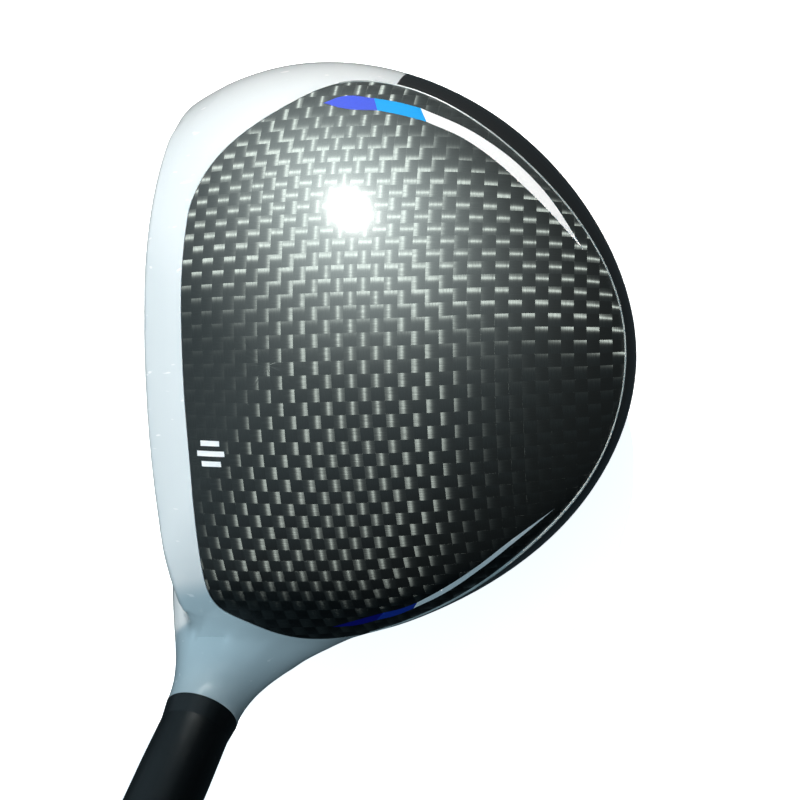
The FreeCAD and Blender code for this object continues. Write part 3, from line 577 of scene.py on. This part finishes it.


# ---------------------------------------------------------------- panel bead

def clear_bead_painted_edge_light():
    """Squeezed-out clear epoxy along the edge of the crown panel, glossy; its pale, uneven colour
    is painted reflection, standing in for the light caught by its rounded edge.
    """
    material, tree, shader = new_material("clear_epoxy_bead")
    place = add(tree, "ShaderNodeTexCoord").outputs["Object"]
    edge_light_patches = add(tree, "ShaderNodeTexNoise", {"Vector": place, "Scale": 1 / (3.0 * MM),
                                            "Detail": 3.0})
    # Painted reflection: the pale grey stands in for light caught by the bead's rounded clear edge.
    tint = add(tree, "ShaderNodeMix", {"Factor": edge_light_patches, "A": linear("5F6A6A"),
                                       "B": linear("C3CBC9")}, data_type="RGBA")
    connect(tree, shader, {"Base Color": tint.outputs["Result"], "Roughness": 0.25,
                           "Coat Weight": 0.5, "Coat Roughness": 0.1})
    return material


def rear_rim(bm):
    """Spots along the top outer edge of the crown panel behind the colour break, from toe to
    heel."""
    rim = set()
    for edge in bm.edges:
        slopes = [face.normal.z for face in edge.link_faces]
        if max(slopes) > 0.1 and min(abs(slope) for slope in slopes) < 0.02:
            rim.update(edge.verts)
    spots = [vert.co.copy() for vert in rim if vert.co.y > BEAD_FRONT]
    return sorted(spots, key=lambda spot: math.atan2(spot.x, spot.y - BEAD_FRONT))


class DRIVER_OT_bead(bpy.types.Operator):
    """Thin bead of resin between the crown panel and the black skirt"""

    bl_idname = "driver.bead"
    bl_label = "Panel bead"

    def execute(self, context):
        bm = merged_copy("crown_panel")
        spots = rear_rim(bm)
        bm.free()
        curve = bpy.data.curves.new("panel_bead", "CURVE")
        curve.dimensions = "3D"
        curve.bevel_depth = 0.2 * MM
        curve.bevel_resolution = 2
        curve.use_fill_caps = True
        spline = curve.splines.new("POLY")
        spline.points.add(len(spots) - 1)
        for point, spot in zip(spline.points, spots):
            point.co = (*spot, 1)
            wide = max(0.0, 1.0 - (spot - HEEL_REAR).length / (32 * MM))
            point.radius = 1.0 + 1.6 * wide
        bm = bmesh.new()
        bm.from_mesh(curve_mesh(curve))
        object_from(bm, "panel_bead", "head", clear_bead_painted_edge_light())
        return {"FINISHED"}


# ---------------------------------------------------------------- shaft line

def plain_finish(name, code, metallic, roughness, grain_mm, spread, coat=0.0, drawn=1.0):
    """A finish whose colour and height vary with a grain of a real size, drawn out along the
    shaft where the piece was turned or drawn."""
    material, tree, shader = new_material(name)
    place = add(tree, "ShaderNodeTexCoord").outputs["Object"]
    to_line = ON_SHAFT.inverted().to_euler()
    lined_up = add(tree, "ShaderNodeMapping", {0: place, 2: to_line})
    fine = 1 / (grain_mm * MM)
    sized = add(tree, "ShaderNodeVectorMath", {0: lined_up, 1: (fine, fine, fine / drawn)},
                operation="MULTIPLY")
    grain = add(tree, "ShaderNodeTexNoise", {"Vector": sized, "Scale": 1.0, "Detail": 3.0})
    shade = add(tree, "ShaderNodeMapRange", {"Value": grain, "From Min": 0.3, "From Max": 0.7,
                                             "To Min": 1 - spread, "To Max": 1 + spread})
    tint = add(tree, "ShaderNodeVectorMath", {0: linear(code)[:3], "Scale": shade.outputs[0]},
               operation="SCALE")
    bump = add(tree, "ShaderNodeBump", {"Height": grain, "Strength": 0.4,
                                        "Distance": 0.02 * MM})
    connect(tree, shader, {"Base Color": tint, "Metallic": metallic, "Roughness": roughness,
                           "Normal": bump, "Coat Weight": coat, "Coat Roughness": 0.06})
    return material


class DRIVER_OT_shaft(bpy.types.Operator):
    """Sleeve, ferrule and shaft"""

    bl_idname = "driver.shaft"
    bl_label = "Sleeve, ferrule and shaft"

    def execute(self, context):
        dress("loft_sleeve", plain_finish("black_anodised_aluminium", "0A0A0B", 0.0, 0.36,
                                          1.6, 0.7, drawn=14.0))
        dress("ferrule", plain_finish("turned_black_acetate", "0A0A0B", 0.0, 0.36, 1.6, 0.7,
                                      drawn=14.0))
        dress("shaft", plain_finish("clear_coated_graphite", "1A1D24", 0.3, 0.35, 1.0, 0.35,
                                    coat=1.0, drawn=30.0))
        return {"FINISHED"}


class DRIVER_OT_grip(bpy.types.Operator):
    """Moulded rubber grip with its raised pads"""

    bl_idname = "driver.grip"
    bl_label = "Grip"

    def execute(self, context):
        setting = context.scene.driver_grip
        rubber = plain_finish("moulded_rubber", "161617", 0.0, 0.72, 0.6, 0.2)
        dress("grip", rubber)
        spacing = (GRIP_HIGH - GRIP_LOW) / setting.rows
        bm = bmesh.new()
        bmesh.ops.create_cone(bm, cap_ends=True, segments=setting.facets, radius1=20 * MM,
                              radius2=20 * MM, depth=GRIP_HIGH - GRIP_LOW)
        bmesh.ops.translate(bm, verts=bm.verts, vec=(0, 0, (GRIP_LOW + GRIP_HIGH) / 2))
        for step in range(1, setting.rows):
            geometry = bm.verts[:] + bm.edges[:] + bm.faces[:]
            bmesh.ops.bisect_plane(bm, geom=geometry, plane_co=(0, 0, GRIP_LOW + spacing * step),
                                   plane_no=(0, 0, 1))
        bmesh.ops.transform(bm, matrix=ON_SHAFT, verts=bm.verts)
        bm = laid_on(bm, "grip", -0.06 * MM)
        pads = []
        for face in bm.faces:
            if len(face.verts) > 4:
                continue
            height = (face.calc_center_median() - SHAFT_FOOT).dot(UP_SHAFT)
            if int((height - GRIP_LOW) / spacing) % BAND_PERIOD >= BAND_ROWS:
                pads.append(face)
        bmesh.ops.recalc_face_normals(bm, faces=bm.faces)
        bmesh.ops.inset_individual(bm, faces=pads, thickness=0.28 * MM, depth=setting.recess)
        object_from(bm, "grip_pads", "shaft_assembly", rubber, smooth=False)
        return {"FINISHED"}


class DRIVER_OT_fittings(bpy.types.Operator):
    """Screws, weight, plugs and adhesive"""

    bl_idname = "driver.fittings"
    bl_label = "Fittings"

    def execute(self, context):
        steel = plain_finish("machined_stainless_steel", "9A9C9F", 1.0, 0.28, 0.25, 0.08)
        for node_name in ("hosel_bolt", "bolt_washer", "bolt_retainer", "weight_screw",
                          "port_plug"):
            dress(node_name, steel)
        dress("rear_weight", plain_finish("turned_tungsten_alloy", "74747A", 1.0, 0.32, 0.4, 0.1))
        dress("slot_filler", plain_finish("cast_urethane", "0C1F66", 0.0, 0.5, 0.7, 0.1))
        epoxy = plain_finish("cured_epoxy", "A39B7C", 0.0, 0.4, 1.5, 0.15)
        for node_name in ("crown_bond", "sole_bond_toe", "sole_bond_heel", "tip_bond"):
            dress(node_name, epoxy)
        dress("tip_plug", plain_finish("moulded_polypropylene", "202022", 0.0, 0.5, 0.8, 0.1))
        dress("grip_tape", plain_finish("masking_tape", "C8BE9C", 0.0, 0.85, 0.5, 0.12))
        return {"FINISHED"}


# ---------------------------------------------------------------- stage

def pale_floor_paint():
    """Matt white floor vinyl on a lit table: flat, even and without sheen."""
    material, tree, shader = new_material("matt_white_floor")
    place = add(tree, "ShaderNodeTexCoord").outputs["Object"]
    grain = add(tree, "ShaderNodeTexNoise", {"Vector": place, "Scale": 60.0})
    tint = add(tree, "ShaderNodeMix", {"Factor": grain, "A": linear("F6F7F8"),
                                       "B": linear("FCFCFC")}, data_type="RGBA")
    connect(tree, shader, {"Base Color": tint.outputs["Result"], "Roughness": 0.9,
                           "Specular IOR Level": 0.1,
                           "Emission Color": (1, 1, 1, 1), "Emission Strength": 0.75})
    return material


def soft_sky(scene):
    """Even light from a bright room: strongest from above and ahead, weak from behind and
    below."""
    world = bpy.data.worlds.new("soft_room")
    scene.world = world
    world.use_nodes = True
    tree = world.node_tree
    tree.nodes.clear()
    way = add(tree, "ShaderNodeTexCoord").outputs["Generated"]
    lobe = add(tree, "ShaderNodeVectorMath",
               {0: way, 1: Vector((-0.25, -0.35, 0.9)).normalized()}, operation="DOT_PRODUCT")
    share = add(tree, "ShaderNodeMapRange", {"Value": lobe.outputs["Value"], "From Min": -0.1,
                                             "From Max": 0.9}, interpolation_type="SMOOTHSTEP")
    glow = add(tree, "ShaderNodeMix", {"Factor": share, "A": (0.02, 0.03, 0.036, 1),
                                       "B": (0.5, 0.71, 0.83, 1)},
               data_type="RGBA")
    seen = add(tree, "ShaderNodeLightPath").outputs["Is Camera Ray"]
    backdrop = add(tree, "ShaderNodeMix", {"Factor": seen, "A": glow.outputs["Result"],
                                           "B": (0.95, 0.96, 0.97, 1)}, data_type="RGBA")
    light = add(tree, "ShaderNodeBackground", {"Color": backdrop.outputs["Result"]})
    add(tree, "ShaderNodeOutputWorld", {"Surface": light})


def aimed(thing, place, target):
    thing.location = place
    thing.rotation_euler = (Vector(target) - Vector(place)).to_track_quat("-Z", "Y").to_euler()
    bpy.context.scene.collection.objects.link(thing)
    return thing


KEY_PLACE = (-879 * MM, 72 * MM, 907 * MM)
KEY_TARGET = (-510 * MM, -13 * MM, 0)
# name, power, colour, radius and softness of the cone's edge
KEY_LAMPS = (
    ("key", 56.0, (1.0, 0.84, 0.75), 0.001, 0.003),
    ("sheen", 720.0, (0.97, 1.0, 0.96), 0.0015, 0.003),
)


class DRIVER_OT_stage(bpy.types.Operator):
    """Camera, floor and lights"""

    bl_idname = "driver.stage"
    bl_label = "Stage"

    def execute(self, context):
        scene = context.scene
        scene.view_settings.view_transform = "Standard"
        camera = bpy.data.cameras.new("camera")
        camera.lens = 35.073
        camera.sensor_width = 36
        camera.clip_start = 0.01
        viewer = bpy.data.objects.new("camera", camera)
        viewer.location = (-7.592 * MM, 79.629 * MM, 188.160 * MM)
        viewer.rotation_euler = Euler([math.radians(part) for part in (-4.643, 14.919, 88.567)])
        scene.collection.objects.link(viewer)
        scene.camera = viewer
        bm = bmesh.new()
        bmesh.ops.create_grid(bm, x_segments=4, y_segments=4, size=8.0)
        mesh = bpy.data.meshes.new("floor")
        bm.to_mesh(mesh)
        bm.free()
        mesh.materials.append(pale_floor_paint())
        floor = bpy.data.objects.new("floor", mesh)
        scene.collection.objects.link(floor)
        floor.visible_glossy = False
        floor.visible_diffuse = False
        soft_sky(scene)
        for name, power, tint, radius, blend in KEY_LAMPS:
            lamp = bpy.data.lights.new(name, "SPOT")
            lamp.energy = power
            lamp.color = tint
            lamp.shadow_soft_size = radius
            lamp.spot_size = math.radians(50)
            lamp.spot_blend = blend
            shown = aimed(bpy.data.objects.new(name, lamp), KEY_PLACE, KEY_TARGET)
            shown.visible_diffuse = name == "key"
        return {"FINISHED"}


# ---------------------------------------------------------------- add-on

OPERATORS = (
    DRIVER_OT_shell, DRIVER_OT_face, DRIVER_OT_carbon, DRIVER_OT_stripes, DRIVER_OT_bead,
    DRIVER_OT_shaft, DRIVER_OT_grip, DRIVER_OT_fittings, DRIVER_OT_stage,
)


class DRIVER_PT_pieces(bpy.types.Panel):
    """Pieces of the driver and their settings"""

    bl_idname = "DRIVER_PT_pieces"
    bl_label = "Golf driver"
    bl_space_type = "VIEW_3D"
    bl_region_type = "UI"
    bl_category = "Driver"

    def draw(self, context):
        for operator in OPERATORS:
            self.layout.operator(operator.bl_idname)
        for group in (context.scene.driver_weave, context.scene.driver_paint,
                      context.scene.driver_grip):
            column = self.layout.box().column()
            for key in group.bl_rna.properties.keys():
                if key not in ("rna_type", "name"):
                    column.prop(group, key)


def register():
    for kind in (*PROPERTY_GROUPS, *OPERATORS, DRIVER_PT_pieces):
        bpy.utils.register_class(kind)
    bpy.types.Scene.driver_weave = PointerProperty(type=DRIVER_PG_weave)
    bpy.types.Scene.driver_paint = PointerProperty(type=DRIVER_PG_paint)
    bpy.types.Scene.driver_grip = PointerProperty(type=DRIVER_PG_grip)


def unregister():
    del bpy.types.Scene.driver_grip
    del bpy.types.Scene.driver_paint
    del bpy.types.Scene.driver_weave
    for kind in reversed((*PROPERTY_GROUPS, *OPERATORS, DRIVER_PT_pieces)):
        bpy.utils.unregister_class(kind)


def main():
    register()
    for operator in OPERATORS:
        family, name = operator.bl_idname.split(".")
        getattr(getattr(bpy.ops, family), name)()


if __name__ == "__main__":
    main()
